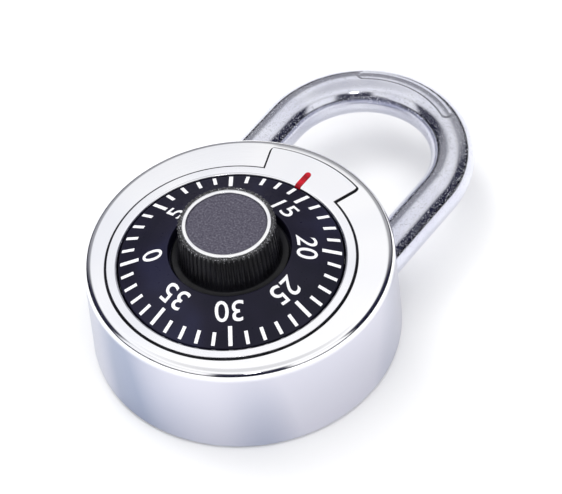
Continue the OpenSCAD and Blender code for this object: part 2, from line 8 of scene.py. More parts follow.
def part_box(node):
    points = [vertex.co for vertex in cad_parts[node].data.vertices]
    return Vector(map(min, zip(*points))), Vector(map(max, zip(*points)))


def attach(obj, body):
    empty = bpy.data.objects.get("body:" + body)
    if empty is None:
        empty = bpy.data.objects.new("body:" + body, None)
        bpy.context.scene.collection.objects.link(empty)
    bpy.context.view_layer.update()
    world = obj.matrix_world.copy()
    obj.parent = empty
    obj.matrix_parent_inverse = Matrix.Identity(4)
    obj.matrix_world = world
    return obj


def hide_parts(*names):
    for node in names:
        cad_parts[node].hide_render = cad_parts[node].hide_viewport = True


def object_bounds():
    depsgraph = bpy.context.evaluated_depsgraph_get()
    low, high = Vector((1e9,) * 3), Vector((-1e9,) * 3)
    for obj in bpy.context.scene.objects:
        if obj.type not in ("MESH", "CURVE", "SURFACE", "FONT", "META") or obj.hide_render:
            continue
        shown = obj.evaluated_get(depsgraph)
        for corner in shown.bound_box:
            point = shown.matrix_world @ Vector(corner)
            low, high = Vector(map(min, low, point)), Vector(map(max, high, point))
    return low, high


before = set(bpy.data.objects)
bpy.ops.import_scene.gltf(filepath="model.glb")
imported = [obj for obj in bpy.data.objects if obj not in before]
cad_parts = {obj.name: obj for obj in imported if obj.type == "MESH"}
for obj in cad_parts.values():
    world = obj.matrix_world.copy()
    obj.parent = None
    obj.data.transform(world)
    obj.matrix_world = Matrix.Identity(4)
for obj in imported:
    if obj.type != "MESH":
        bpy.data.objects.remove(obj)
cad_low, cad_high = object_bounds()

# ---------------------------------------------------------------- camera, floor and light
# The lock lies on its back on a white table, inside a white tent. The camera looks down over
# the right shoulder of the case through a long lens, rolled a little.

mm = 0.001
scene = bpy.context.scene
scene.view_settings.view_transform = "Standard"

camera_azimuth = math.radians(40.31)
camera_elevation = math.radians(49.13)
camera_roll = math.radians(-6.22)
camera_distance = 497.6 * mm
towards_camera = Vector((math.sin(camera_azimuth) * math.cos(camera_elevation),
                         -math.cos(camera_azimuth) * math.cos(camera_elevation),
                         math.sin(camera_elevation)))
camera_right = Vector((math.cos(camera_azimuth), math.sin(camera_azimuth), 0))
camera_up = towards_camera.cross(camera_right)
camera_aim = Vector((0, -2.0 * mm, 15 * mm)) + camera_right * 7.838 * mm + camera_up * 3.05 * mm

lens = bpy.data.cameras.new("product_lens")
lens.lens = 207.07
lens.sensor_width = 36.0
lens.clip_start = 10 * mm
lens.clip_end = 20.0
camera = bpy.data.objects.new("product_camera", lens)
scene.collection.objects.link(camera)
scene.camera = camera
level_view = Matrix((camera_right, camera_up, towards_camera)).transposed().to_quaternion()
camera.rotation_mode = "QUATERNION"
camera.rotation_quaternion = level_view @ Quaternion((0, 0, 1), camera_roll)
camera.location = camera_aim + towards_camera * camera_distance


def add_object(bm, name, material, body=None, replaces=()):
    """Puts a finished mesh in the scene, as a piece of the lock when a body is named"""
    mesh = bpy.data.meshes.new(name)
    bm.to_mesh(mesh)
    bm.free()
    piece = bpy.data.objects.new(name, mesh)
    scene.collection.objects.link(piece)
    mesh.materials.append(material)
    if body:
        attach(piece, body)
    if replaces:
        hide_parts(*replaces)
    return piece


table_white = bpy.data.materials.new("table_white")
table_white.use_nodes = True
shader = table_white.node_tree.nodes["Principled BSDF"]
shader.inputs["Base Color"].default_value = (0.97, 0.97, 0.97, 1)
shader.inputs["Roughness"].default_value = 0.7
shader.inputs["Specular IOR Level"].default_value = 0.1

table_half = 3.0
table_gap = 0.02 * mm
bm = bmesh.new()
bmesh.ops.create_grid(bm, x_segments=1, y_segments=1, size=table_half)
bmesh.ops.translate(bm, verts=bm.verts, vec=(0, 0, cad_low.z - table_gap))
table = add_object(bm, "table", table_white)

world = bpy.data.worlds.new("white_tent")
scene.world = world
world.use_nodes = True
nodes, links = world.node_tree.nodes, world.node_tree.links
direction = nodes.new("ShaderNodeTexCoord")
split = nodes.new("ShaderNodeSeparateXYZ")
links.new(direction.outputs["Generated"], split.inputs[0])


def tent_ramp(factor, *stops):
    """A ramp of grays, each stop (position, gray)"""
    ramp = nodes.new("ShaderNodeValToRGB")
    while len(ramp.color_ramp.elements) < len(stops):
        ramp.color_ramp.elements.new(0.5)
    for element, (position, gray) in zip(ramp.color_ramp.elements, stops):
        element.position = position
        element.color = (gray, gray, gray * 0.98 + 0.02, 1)
    links.new(factor, ramp.inputs["Fac"])
    return ramp.outputs["Color"]


# The tent's wall is dark up to the eaves but for its white panels, and its foot is dark all
# round. Heading is 0 and 1 behind the case, 0.25 to its left, 0.5 past the shackle's bow and
# 0.75 to its right.
heading = nodes.new("ShaderNodeMath")
heading.operation = "ARCTAN2"
links.new(split.outputs["X"], heading.inputs[0])
links.new(split.outputs["Y"], heading.inputs[1])
turns = nodes.new("ShaderNodeMapRange")
turns.inputs["From Min"].default_value = -math.pi
turns.inputs["From Max"].default_value = math.pi
links.new(heading.outputs[0], turns.inputs["Value"])
wall = tent_ramp(turns.outputs[0], (0.0, 0.85), (0.13, 0.85), (0.15, 0.02), (0.24, 0.02),
                 (0.30, 0.28), (0.50, 0.32), (0.57, 0.02), (0.69, 0.01),
                 (0.71, 0.90), (0.81, 0.90), (0.83, 0.02), (0.95, 0.02), (0.97, 0.85))
foot = tent_ramp(split.outputs["Z"], (0.16, 0.02), (0.26, 1.0))
above_foot = nodes.new("ShaderNodeMix")
above_foot.data_type = "RGBA"
above_foot.blend_type = "MULTIPLY"
above_foot.inputs["Factor"].default_value = 1.0
links.new(wall, above_foot.inputs["A"])
links.new(foot, above_foot.inputs["B"])
roof = tent_ramp(split.outputs["Z"], (0.50, 0.34), (0.62, 0.50), (0.73, 0.80),
                 (0.84, 0.90), (0.97, 0.62))
roof_mask = tent_ramp(split.outputs["Z"], (0.60, 0.0), (0.70, 1.0))
sky = nodes.new("ShaderNodeMix")
sky.data_type = "RGBA"
links.new(roof_mask, sky.inputs["Factor"])
links.new(above_foot.outputs["Result"], sky.inputs["A"])
links.new(roof, sky.inputs["B"])
links.new(sky.outputs["Result"], nodes["Background"].inputs["Color"])
nodes["Background"].inputs["Strength"].default_value = 1.25


def soft_light(name, place, width, height, power, tint=(1, 1, 1), mirrored=False):
    """A soft box at place (in mm) that faces the lock; mirrored ones show in its bright metal"""
    light = bpy.data.lights.new(name, "AREA")
    light.shape = "RECTANGLE"
    light.size, light.size_y = width, height
    light.energy = power
    light.color = tint
    lamp = bpy.data.objects.new(name, light)
    scene.collection.objects.link(lamp)
    lamp.location = Vector(place) * mm
    aim = Vector((0, 0, 10 * mm)) - lamp.location
    lamp.rotation_mode = "QUATERNION"
    lamp.rotation_quaternion = aim.to_track_quat("-Z", "Y")
    lamp.visible_glossy = mirrored


soft_light("key_softbox", (-500, 150, 600), 0.5, 0.5, 2.2)
soft_light("right_softbox", (650, -80, 420), 0.35, 0.5, 1.1, (0.95, 0.97, 1.0))
soft_light("top_fill", (0, 0, 1200), 2.0, 2.0, 8.0)
soft_light("front_spot", (480, -560, 640), 0.12, 0.12, 0.35, mirrored=True)

# ---------------------------------------------------------------- outer shell
# The outer shell is drawn from stainless sheet: a cup with a rounded shoulder, turned in at the
# back over the cover. Its face is stamped out round the dial ring and the index tab, and two
# holes are pierced for the shackle's legs. The wall is left with a fine satin grain.

case_low, case_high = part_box("outer_shell")
ring_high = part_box("inner_case")[1]
dial_low, dial_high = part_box("dial")
rod_low, rod_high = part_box("shackle")
steps_round = 256
back_r = (case_high.x - case_low.x) / 2
wall_lean = 0.4 * mm
case_r = back_r - wall_lean
case_h = case_high.z
face_z = ring_high.z
shell_foot = case_low.z
shell_wall = 0.8 * mm
shell_in_r = case_r - shell_wall
curl_w = 2.6 * mm
curl_in = case_r - curl_w
curl_t = 0.5 * mm
dial_y = (dial_low.y + dial_high.y) / 2
dial_r = (dial_high.x - dial_low.x) / 2
dial_gap = 0.2 * mm
recess_r = dial_r + dial_gap
ring_w = 1.7 * mm
ring_r = recess_r + ring_w
seam = 0.27 * mm
tab_inset = 2.2 * mm
tab_r = case_r - tab_inset
tab_half_angle = math.radians(20)
tab_corner = 0.7 * mm
rod_r = (rod_high.z - rod_low.z) / 2
rod_z = (rod_high.z + rod_low.z) / 2
leg_x = rod_high.x - rod_r
leg_clearance = 0.2 * mm
foot_round = 0.75 * mm
shoulder_round = 1.3 * mm
sheet_edge_round = 0.12 * mm
opening_r = 15 * mm
sheared_chamfer = 0.11 * mm


def turned(section, centre_y=0.0, steps=steps_round, round_steps=6):
    """Turns a half section round an upright axis; a point is (radius, height, corner round)"""
    bm = bmesh.new()
    verts = [bm.verts.new((r, 0, z)) for r, z, corner in section]
    for a, b in zip(verts, verts[1:] + verts[:1]):
        bm.edges.new((a, b))
    for vert, (r, z, corner) in zip(verts, section):
        if corner:
            bmesh.ops.bevel(bm, geom=[vert], offset=corner, offset_type="OFFSET", segments=round_steps,
                            profile=0.5, affect="VERTICES", material=-1)
    bmesh.ops.spin(bm, geom=bm.verts[:] + bm.edges[:], cent=(0, 0, 0), axis=(0, 0, 1), dvec=(0, 0, 0),
                   angle=math.tau, steps=steps, use_merge=True, use_duplicate=False)
    bmesh.ops.remove_doubles(bm, verts=bm.verts, dist=1e-8)
    bmesh.ops.dissolve_degenerate(bm, edges=bm.edges, dist=1e-8)
    on_axis = [edge for edge in bm.edges if not edge.link_faces]
    bmesh.ops.delete(bm, geom=on_axis, context="EDGES")
    bmesh.ops.recalc_face_normals(bm, faces=bm.faces)
    bmesh.ops.translate(bm, verts=bm.verts, vec=(0, centre_y, 0))
    return bm


def tab_block(grow, low, high):
    """The index tab as a block: a sector from the dial's axis, cut from a disc as wide as the case"""
    bm = bmesh.new()
    bmesh.ops.create_circle(bm, cap_ends=True, radius=tab_r + grow, segments=steps_round)
    apex = Vector((0, dial_y - grow / math.sin(tab_half_angle), 0))
    for side in (-1, 1):
        outwards = Vector((side * math.cos(tab_half_angle), -math.sin(tab_half_angle), 0))
        bmesh.ops.bisect_plane(bm, geom=bm.verts[:] + bm.edges[:] + bm.faces[:], plane_co=apex,
                               plane_no=outwards, clear_outer=True)
    on_arc = {v for v in bm.verts if v.co.y > 0 and abs(v.co.length - tab_r - grow) < 0.02 * mm}
    corners = [v for v in on_arc if any(e.other_vert(v) not in on_arc for e in v.link_edges)]
    bmesh.ops.bevel(bm, geom=corners, offset=tab_corner + grow, offset_type="OFFSET", segments=6,
                    profile=0.5, affect="VERTICES", material=-1)
    bmesh.ops.translate(bm, verts=bm.verts, vec=(0, 0, low))
    raised = bmesh.ops.extrude_face_region(bm, geom=bm.faces[:])["geom"]
    raised = [g for g in raised if isinstance(g, bmesh.types.BMVert)]
    bmesh.ops.translate(bm, verts=raised, vec=(0, 0, high - low))
    bmesh.ops.recalc_face_normals(bm, faces=bm.faces)
    return bm


def leg_drills(clearance):
    """Two rods where the shackle's legs pass through the case"""
    drill_l = 16 * mm
    drill_y = 18 * mm
    along_y = Matrix.Rotation(math.pi / 2, 4, "X")
    bm = bmesh.new()
    for side in (-1, 1):
        place = Matrix.Translation((side * leg_x, drill_y, rod_z)) @ along_y
        bmesh.ops.create_cone(bm, cap_ends=True, segments=96, radius1=rod_r + clearance,
                              radius2=rod_r + clearance, depth=drill_l, matrix=place)
    return bm


def combine(kept, tool, operation):
    """Joins or cuts one closed solid with another"""
    pair = []
    for name, bm in (("kept", kept), ("tool", tool)):
        mesh = bpy.data.meshes.new(name)
        bm.to_mesh(mesh)
        bm.free()
        pair.append(bpy.data.objects.new(name, mesh))
        scene.collection.objects.link(pair[-1])
    cut = pair[0].modifiers.new("combine", "BOOLEAN")
    cut.operation, cut.object, cut.solver = operation, pair[1], "EXACT"
    bpy.context.view_layer.update()
    whole = pair[0].evaluated_get(bpy.context.evaluated_depsgraph_get())
    bm = bmesh.new()
    bm.from_mesh(whole.data)
    for part in pair:
        mesh = part.data
        bpy.data.objects.remove(part)
        bpy.data.meshes.remove(mesh)
    bmesh.ops.remove_doubles(bm, verts=bm.verts, dist=1e-7)
    return bm


def smooth_finish(piece, sharp_degrees=34):
    """Smooth shading that keeps real edges crisp and flat sheets flat"""
    mesh = piece.data
    bm = bmesh.new()
    bm.from_mesh(mesh)
    for face in bm.faces:
        face.smooth = True
    sharp = math.radians(sharp_degrees)
    for edge in bm.edges:
        edge.smooth = len(edge.link_faces) == 2 and edge.calc_face_angle(0) < sharp
    bm.to_mesh(mesh)
    bm.free()
    weighted = piece.modifiers.new("weighted_normals", "WEIGHTED_NORMAL")
    weighted.keep_sharp = True
    weighted.weight = 90


def new_group(name, inputs, outputs):
    """An empty shader node group; inputs and outputs are (name, socket kind, default)"""
    group = bpy.data.node_groups.new(name, "ShaderNodeTree")
    for direction, sockets in (("INPUT", inputs), ("OUTPUT", outputs)):
        for label, kind, value in sockets:
            socket = group.interface.new_socket(label, in_out=direction,
                                                socket_type="NodeSocket" + kind)
            if value is not None:
                socket.default_value = value
    goes_in = group.nodes.new("NodeGroupInput")
    goes_out = group.nodes.new("NodeGroupOutput")
    return group, group.nodes, group.links, goes_in, goes_out


def math_node(nodes, links, operation, first, second=None):
    """A Math node fed by sockets or by plain numbers; returns its output"""
    node = nodes.new("ShaderNodeMath")
    node.operation = operation
    for slot, value in enumerate((first, second)):
        if isinstance(value, bpy.types.NodeSocket):
            links.new(value, node.inputs[slot])
        elif value is not None:
            node.inputs[slot].default_value = value
    return node.outputs[0]


# Pitted surface: fine pits and slow tone changes. Object coordinates come in metres.
pitted, nodes, links, goes_in, goes_out = new_group(
    "pitted_surface", [("Vector", "Vector", None), ("Per mm", "Float", 4.0),
                       ("Blotch per mm", "Float", 0.15)],
    [("Height", "Float", None), ("Flecks", "Float", None), ("Blotch", "Float", None)])
for output, scale_name, detail in (("Height", "Per mm", 3.0), ("Blotch", "Blotch per mm", 2.0)):
    in_mm = nodes.new("ShaderNodeVectorMath")
    in_mm.operation = "SCALE"
    noise = nodes.new("ShaderNodeTexNoise")
    noise.inputs["Scale"].default_value = 1000.0
    noise.inputs["Detail"].default_value = detail
    links.new(goes_in.outputs["Vector"], in_mm.inputs[0])
    links.new(goes_in.outputs[scale_name], in_mm.inputs["Scale"])
    links.new(in_mm.outputs[0], noise.inputs["Vector"])
    links.new(noise.outputs["Fac"], goes_out.inputs[output])
    if output == "Height":
        flecks = nodes.new("ShaderNodeMapRange")
        flecks.inputs["From Min"].default_value = 0.60
        flecks.inputs["From Max"].default_value = 0.68
        links.new(noise.outputs["Fac"], flecks.inputs["Value"])
        links.new(flecks.outputs[0], goes_out.inputs["Flecks"])

# Turned grain: fine lines that run round an upright axis, and soft bands across them. On the shell's wall
# the bands are painted reflection streaks; on the other metals they are tone changes.
turned_grain, nodes, links, goes_in, goes_out = new_group(
    "turned_grain", [("Vector", "Vector", None), ("Axis y", "Float", 0.0), ("Lines per mm", "Float", 6.0),
                     ("Bands", "Float", 2.0)],
    [("Height", "Float", None), ("Bands", "Float", None)])
split = nodes.new("ShaderNodeSeparateXYZ")
links.new(goes_in.outputs["Vector"], split.inputs[0])
across = split.outputs["X"]
along = math_node(nodes, links, "SUBTRACT", split.outputs["Y"], goes_in.outputs["Axis y"])
radius = math_node(nodes, links, "SQRT", math_node(
    nodes, links, "ADD", math_node(nodes, links, "MULTIPLY", across, across),
    math_node(nodes, links, "MULTIPLY", along, along)))
lines = nodes.new("ShaderNodeCombineXYZ")
per_m = math_node(nodes, links, "MULTIPLY", goes_in.outputs["Lines per mm"], 1000.0)
links.new(math_node(nodes, links, "MULTIPLY", radius, per_m), lines.inputs["X"])
links.new(math_node(nodes, links, "MULTIPLY", split.outputs["Z"], per_m), lines.inputs["Y"])
links.new(math_node(nodes, links, "MULTIPLY", math_node(nodes, links, "DIVIDE", across, radius), 5.0),
          lines.inputs["Z"])
grain = nodes.new("ShaderNodeTexNoise")
grain.inputs["Scale"].default_value = 1.0
grain.inputs["Detail"].default_value = 2.0
links.new(lines.outputs[0], grain.inputs["Vector"])
links.new(grain.outputs["Fac"], goes_out.inputs["Height"])
spokes = nodes.new("ShaderNodeCombineXYZ")
links.new(math_node(nodes, links, "DIVIDE", across, radius), spokes.inputs["X"])
links.new(math_node(nodes, links, "DIVIDE", along, radius), spokes.inputs["Y"])
links.new(math_node(nodes, links, "MULTIPLY", split.outputs["Z"], 12.0), spokes.inputs["Z"])
bands = nodes.new("ShaderNodeTexNoise")
bands.inputs["Detail"].default_value = 1.0
links.new(spokes.outputs[0], bands.inputs["Vector"])
links.new(goes_in.outputs["Bands"], bands.inputs["Scale"])
links.new(bands.outputs["Fac"], goes_out.inputs["Bands"])


def new_material(name, group, settings):
    """A material on Object coordinates with one surface group, and what finishes it"""
    material = bpy.data.materials.new(name)
    material.use_nodes = True
    nodes, links = material.node_tree.nodes, material.node_tree.links
    place = nodes.new("ShaderNodeTexCoord")
    surface = nodes.new("ShaderNodeGroup")
    surface.node_tree = group
    links.new(place.outputs["Object"], surface.inputs["Vector"])
    for label, value in settings.items():
        surface.inputs[label].default_value = value
    return material, nodes, links, nodes["Principled BSDF"], surface, place


def tone(nodes, links, factor, target, *stops):
    """A ramp from a 0 to 1 value to a colour, or to a number read as a gray"""
    ramp = nodes.new("ShaderNodeValToRGB")
    links.new(factor, ramp.inputs["Fac"])
    while len(ramp.color_ramp.elements) < len(stops):
        ramp.color_ramp.elements.new(0.5)
    for element, (position, colour) in zip(ramp.color_ramp.elements, stops):
        element.position = position
        element.color = (colour if isinstance(colour, tuple) else (colour,) * 3) + (1,)
    links.new(ramp.outputs["Color"], target)


def relief(nodes, links, height, target, depth_mm):
    """A Bump node; depth is the real height of the pattern"""
    bump = nodes.new("ShaderNodeBump")
    bump.inputs["Strength"].default_value = 1.0
    bump.inputs["Distance"].default_value = depth_mm * mm
    links.new(height, bump.inputs["Height"])
    links.new(bump.outputs["Normal"], target)


def dull_seam(piece, material, low, high):
    """Gives the sheared edges between two heights, and the sheet below them, a dull finish painted near
    black as shade in the seam
    """
    mesh = piece.data
    mesh.materials.append(material)
    for face in mesh.polygons:
        upright = abs(face.normal.z) < 0.95 and low < face.center.z < high
        bottom = face.normal.z > 0.9 and abs(face.center.z - low) < 0.02 * mm
        inside = math.hypot(face.center.x, face.center.y) < case_r - 1.5 * mm
        outside = math.hypot(face.center.x, face.center.y - dial_y) > recess_r + 1 * mm
        if (upright or bottom) and inside and outside:
            face.material_index = 1


# Sheared edges are duller than the face. This material also paints them, and the sheet under the face,
# near black as shade down the seam.
seam_dull_and_shade, nodes, links, shader, surface, place = new_material(
    "sheared_edge_and_seam_shade", pitted, {"Per mm": 6.0, "Blotch per mm": 0.6})
shader.inputs["Metallic"].default_value = 0.6
tone(nodes, links, surface.outputs["Blotch"], shader.inputs["Base Color"],
     (0.35, (0.04, 0.04, 0.05)), (0.65, (0.10, 0.10, 0.12)))
tone(nodes, links, surface.outputs["Height"], shader.inputs["Roughness"], (0.3, 0.6), (0.7, 0.8))
relief(nodes, links, surface.outputs["Height"], shader.inputs["Normal"], 0.01)

satin_steel, nodes, links, shader, surface, place = new_material(
    "satin_stainless", turned_grain, {"Lines per mm": 7.0, "Bands": 1.3})
shader.inputs["Metallic"].default_value = 1.0
split = nodes.new("ShaderNodeSeparateXYZ")
links.new(place.outputs["Object"], split.inputs[0])
polish_and_reflection_mask = nodes.new("ShaderNodeMapRange")
polish_and_reflection_mask.interpolation_type = "SMOOTHSTEP"
polish_and_reflection_mask.inputs["From Min"].default_value = case_h - 2.2 * mm
polish_and_reflection_mask.inputs["From Max"].default_value = case_h - 0.9 * mm
links.new(split.outputs["Z"], polish_and_reflection_mask.inputs["Value"])
tone(nodes, links, polish_and_reflection_mask.outputs[0], shader.inputs["Roughness"], (0.0, 0.27), (1.0, 0.10))
painted_wall_reflection_to_face = nodes.new("ShaderNodeMix")
painted_wall_reflection_to_face.data_type = "RGBA"
links.new(polish_and_reflection_mask.outputs[0], painted_wall_reflection_to_face.inputs["Factor"])
# The wall's colour is painted reflection: darker bluish tones, with soft bands across the grain that
# stand for streaks mirrored in the satin wall. The face above takes brighter tones.
tone(nodes, links, surface.outputs["Bands"], painted_wall_reflection_to_face.inputs["A"],
     (0.34, (0.31, 0.35, 0.47)), (0.46, (0.48, 0.50, 0.60)), (0.60, (0.64, 0.64, 0.72)))
tone(nodes, links, surface.outputs["Bands"], painted_wall_reflection_to_face.inputs["B"],
     (0.36, (0.86, 0.87, 0.92)), (0.62, (0.95, 0.95, 0.97)))
links.new(painted_wall_reflection_to_face.outputs["Result"], shader.inputs["Base Color"])
relief(nodes, links, surface.outputs["Height"], shader.inputs["Normal"], 0.004)

shell = turned([(curl_in, shell_foot, sheet_edge_round), (back_r, shell_foot, foot_round),
                (case_r, case_h, shoulder_round), (opening_r, case_h, 0),
                (opening_r, case_h - shell_wall, 0), (shell_in_r, case_h - shell_wall, 0.6 * mm),
                (shell_in_r, shell_foot + curl_t, 0),
                (curl_in, shell_foot + curl_t, sheet_edge_round)])
past = 3 * mm
opening = turned([(0, case_h - past, 0), (ring_r + seam, case_h - past, 0),
                  (ring_r + seam, case_h + past, 0), (0, case_h + past, 0)], centre_y=dial_y)
shell = combine(shell, opening, "DIFFERENCE")
shell = combine(shell, tab_block(seam, case_h - past, case_h + past), "DIFFERENCE")
sheared = [e for e in shell.edges if all(v.co.z > case_h - 0.01 * mm for v in e.verts)
           and any(abs(f.normal.z) < 0.1 for f in e.link_faces)]
bmesh.ops.bevel(shell, geom=sheared, offset=sheared_chamfer, offset_type="OFFSET", segments=1,
                profile=0.5, affect="EDGES", material=-1)
shell = combine(shell, leg_drills(leg_clearance), "DIFFERENCE")
outer_shell = add_object(shell, "outer_shell_drawn", satin_steel, "case",
                         ["outer_shell"])
smooth_finish(outer_shell)
dull_seam(outer_shell, seam_dull_and_shade, case_h - shell_wall, case_h - 0.01 * mm)

# ---------------------------------------------------------------- inner case
# The inner case is a plated steel pressing. Its ring and index tab stand up through the shell's
# opening, the dial sinks into the recess behind the ring's rounded lip, and the dial's spindle
# turns in a collar below the pan.

bright_plate, nodes, links, shader, surface, place = new_material(
    "bright_plate", turned_grain, {"Axis y": dial_y, "Lines per mm": 5.0, "Bands": 1.6})
shader.inputs["Metallic"].default_value = 1.0
tone(nodes, links, surface.outputs["Bands"], shader.inputs["Base Color"],
     (0.36, (0.84, 0.85, 0.90)), (0.62, (0.94, 0.94, 0.97)))
tone(nodes, links, surface.outputs["Bands"], shader.inputs["Roughness"], (0.3, 0.10), (0.7, 0.17))
relief(nodes, links, surface.outputs["Height"], shader.inputs["Normal"], 0.0015)

recess_floor = 15.7 * mm
pan_under = 14.7 * mm
lip_r = 0.5 * mm
lip_past = 0.4 * mm
sheet_top = case_h - shell_wall - 0.05 * mm
sheet_t = 1 * mm
side_r = shell_in_r - 0.1 * mm
side_foot = 2.95 * mm
sheet_in_r = 16.25 * mm
collar_foot = 12.9 * mm
collar_r = 3.85 * mm
bore_r = 2.55 * mm
sheet = turned([(sheet_in_r, sheet_top, 0), (side_r, sheet_top, 0.65 * mm), (side_r, side_foot, 0),
                (side_r - sheet_t, side_foot, 0), (side_r - sheet_t, sheet_top - sheet_t, 0),
                (sheet_in_r, sheet_top - sheet_t, 0)])
sheet = combine(sheet, leg_drills(leg_clearance), "DIFFERENCE")
block = turned([(bore_r, collar_foot, 0), (collar_r, collar_foot, 0), (collar_r, pan_under, 0),
                (ring_r, pan_under, 0), (ring_r, face_z, 0.1 * mm), (bore_r, face_z, 0)],
               centre_y=dial_y)
block = combine(block, sheet, "UNION")
block = combine(block, tab_block(0, sheet_top - 0.5 * mm, face_z - 0.002 * mm), "UNION")
recess = turned([(0, recess_floor, 0), (recess_r, recess_floor, 0.2 * mm), (recess_r, face_z, lip_r),
                 (recess_r + lip_r + lip_past, face_z + 0.001 * mm, 0),
                 (recess_r + lip_r + lip_past, face_z + past, 0), (0, face_z + past, 0)],
                centre_y=dial_y, round_steps=8)
block = combine(block, recess, "DIFFERENCE")
bmesh.ops.bisect_plane(block, geom=block.verts[:] + block.edges[:] + block.faces[:],
                       plane_co=(0, 0, case_h - 0.03 * mm), plane_no=(0, 0, 1))
inner_case = add_object(block, "inner_case_pressed", bright_plate, "case",
                        ["inner_case"])
smooth_finish(inner_case)
dull_seam(inner_case, seam_dull_and_shade, sheet_top, case_h - 0.02 * mm)

# ---------------------------------------------------------------- back cover
# The cover is a shallow stainless pan that closes the back. The shell's edge is rolled over its
# flange, so it can't be opened, and the lock rests on its flat.

cover_r = curl_in - 0.6 * mm
flange_z = shell_foot + curl_t + 0.05 * mm
cover_t = 1 * mm
cover = turned([(0, 0, 0), (cover_r, 0, 0.3 * mm), (cover_r, flange_z, 0.1 * mm),
                (side_r, flange_z, 0), (side_r, flange_z + cover_t, 0),
                (cover_r - cover_t, flange_z + cover_t, 0.3 * mm),
                (cover_r - cover_t, cover_t, 0.2 * mm), (0, cover_t, 0)])
back_cover = add_object(cover, "back_cover_pressed", satin_steel, "case",
                        ["back_cover"])
smooth_finish(back_cover)

# ---------------------------------------------------------------- index mark
# The mark is a stripe of red enamel in a shallow groove of the index tab. It runs over the
# ring's lip, down to the dial.

red_enamel, nodes, links, shader, surface, place = new_material(
    "red_enamel", pitted, {"Per mm": 5.0, "Blotch per mm": 0.9})
tone(nodes, links, surface.outputs["Blotch"], shader.inputs["Base Color"],
     (0.36, (0.24, 0.001, 0.008)), (0.5, (0.40, 0.002, 0.013)), (0.66, (0.52, 0.005, 0.02)))
shader.inputs["Specular IOR Level"].default_value = 0.2
tone(nodes, links, surface.outputs["Height"], shader.inputs["Roughness"], (0.3, 0.22), (0.7, 0.42))
relief(nodes, links, surface.outputs["Height"], shader.inputs["Normal"], 0.012)


def refinish(node_name, material):
    """Gives a carried-over piece of the frame its material"""
    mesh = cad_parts[node_name].data
    mesh.materials.clear()
    mesh.materials.append(material)


refinish("index_mark", red_enamel)

# ---------------------------------------------------------------- dial
# The dial is a black cone, moulded in one piece with a raised rim round the opening that the
# knob stands in. Its bottom edge has a fine bevel.

dial_slope = math.radians(20.3)
dial_edge_z = face_z - 0.15 * mm
dial_under = dial_low.z
hub_r = 9.5 * mm
hub_wall = 0.9 * mm
rim_r = 0.25 * mm
hub_floor = dial_edge_z + 0.7 * mm
boss_r = 5.5 * mm
boss_z = 16.3 * mm
spindle_hole = 2.55 * mm
dial_wall = 1.4 * mm
dial_bevel = 0.12 * mm


def cone_z(r):
    """Height of the dial's numbered cone at radius r"""
    return dial_edge_z + (dial_r - r) * math.tan(dial_slope)


dial = turned([(spindle_hole, boss_z, 0), (boss_r, boss_z, 0), (boss_r, hub_floor - dial_wall, 0),
               (hub_r + hub_wall, hub_floor - dial_wall, 0),
               (hub_r + hub_wall, cone_z(hub_r + hub_wall) - dial_wall / math.cos(dial_slope), 0),
               (dial_r - 0.6 * mm, dial_under, 0), (dial_r, dial_under, 0),
               (dial_r, dial_edge_z - 0.1 * mm, 0),
               (dial_r - dial_bevel, cone_z(dial_r - dial_bevel), 0), (hub_r, cone_z(hub_r), rim_r),
               (hub_r, hub_floor, 0.12 * mm), (spindle_hole, hub_floor, 0)], centre_y=dial_y)

dial_black, nodes, links, shader, surface, place = new_material(
    "dial_black", pitted, {"Per mm": 3.0, "Blotch per mm": 0.09})
tone(nodes, links, surface.outputs["Blotch"], shader.inputs["Base Color"],
     (0.35, (0.005, 0.005, 0.013)), (0.5, (0.009, 0.008, 0.020)), (0.65, (0.013, 0.013, 0.034)))
tone(nodes, links, surface.outputs["Height"], shader.inputs["Roughness"], (0.3, 0.27), (0.7, 0.40))
shader.inputs["Specular IOR Level"].default_value = 0.18
relief(nodes, links, surface.outputs["Height"], shader.inputs["Normal"], 0.006)
dial_piece = add_object(dial, "dial_moulded", dial_black, "dial_and_cam", ["dial"])
smooth_finish(dial_piece)

# ---------------------------------------------------------------- dial marks
# Forty ticks and the numbers 0 to 35 are printed in white ink. The numbers stand with their
# tops outwards and run clockwise; the dial reads 14 under the index mark.

white_ink, nodes, links, shader, surface, place = new_material(
    "white_ink", pitted, {"Per mm": 6.0, "Blotch per mm": 0.5})
tone(nodes, links, surface.outputs["Height"], shader.inputs["Base Color"],
     (0.25, (0.80, 0.80, 0.84)), (0.6, (0.93, 0.93, 0.95)))
tone(nodes, links, surface.outputs["Blotch"], shader.inputs["Roughness"], (0.3, 0.45), (0.7, 0.65))
relief(nodes, links, surface.outputs["Height"], shader.inputs["Normal"], 0.006)
refinish("dial_ticks", white_ink)

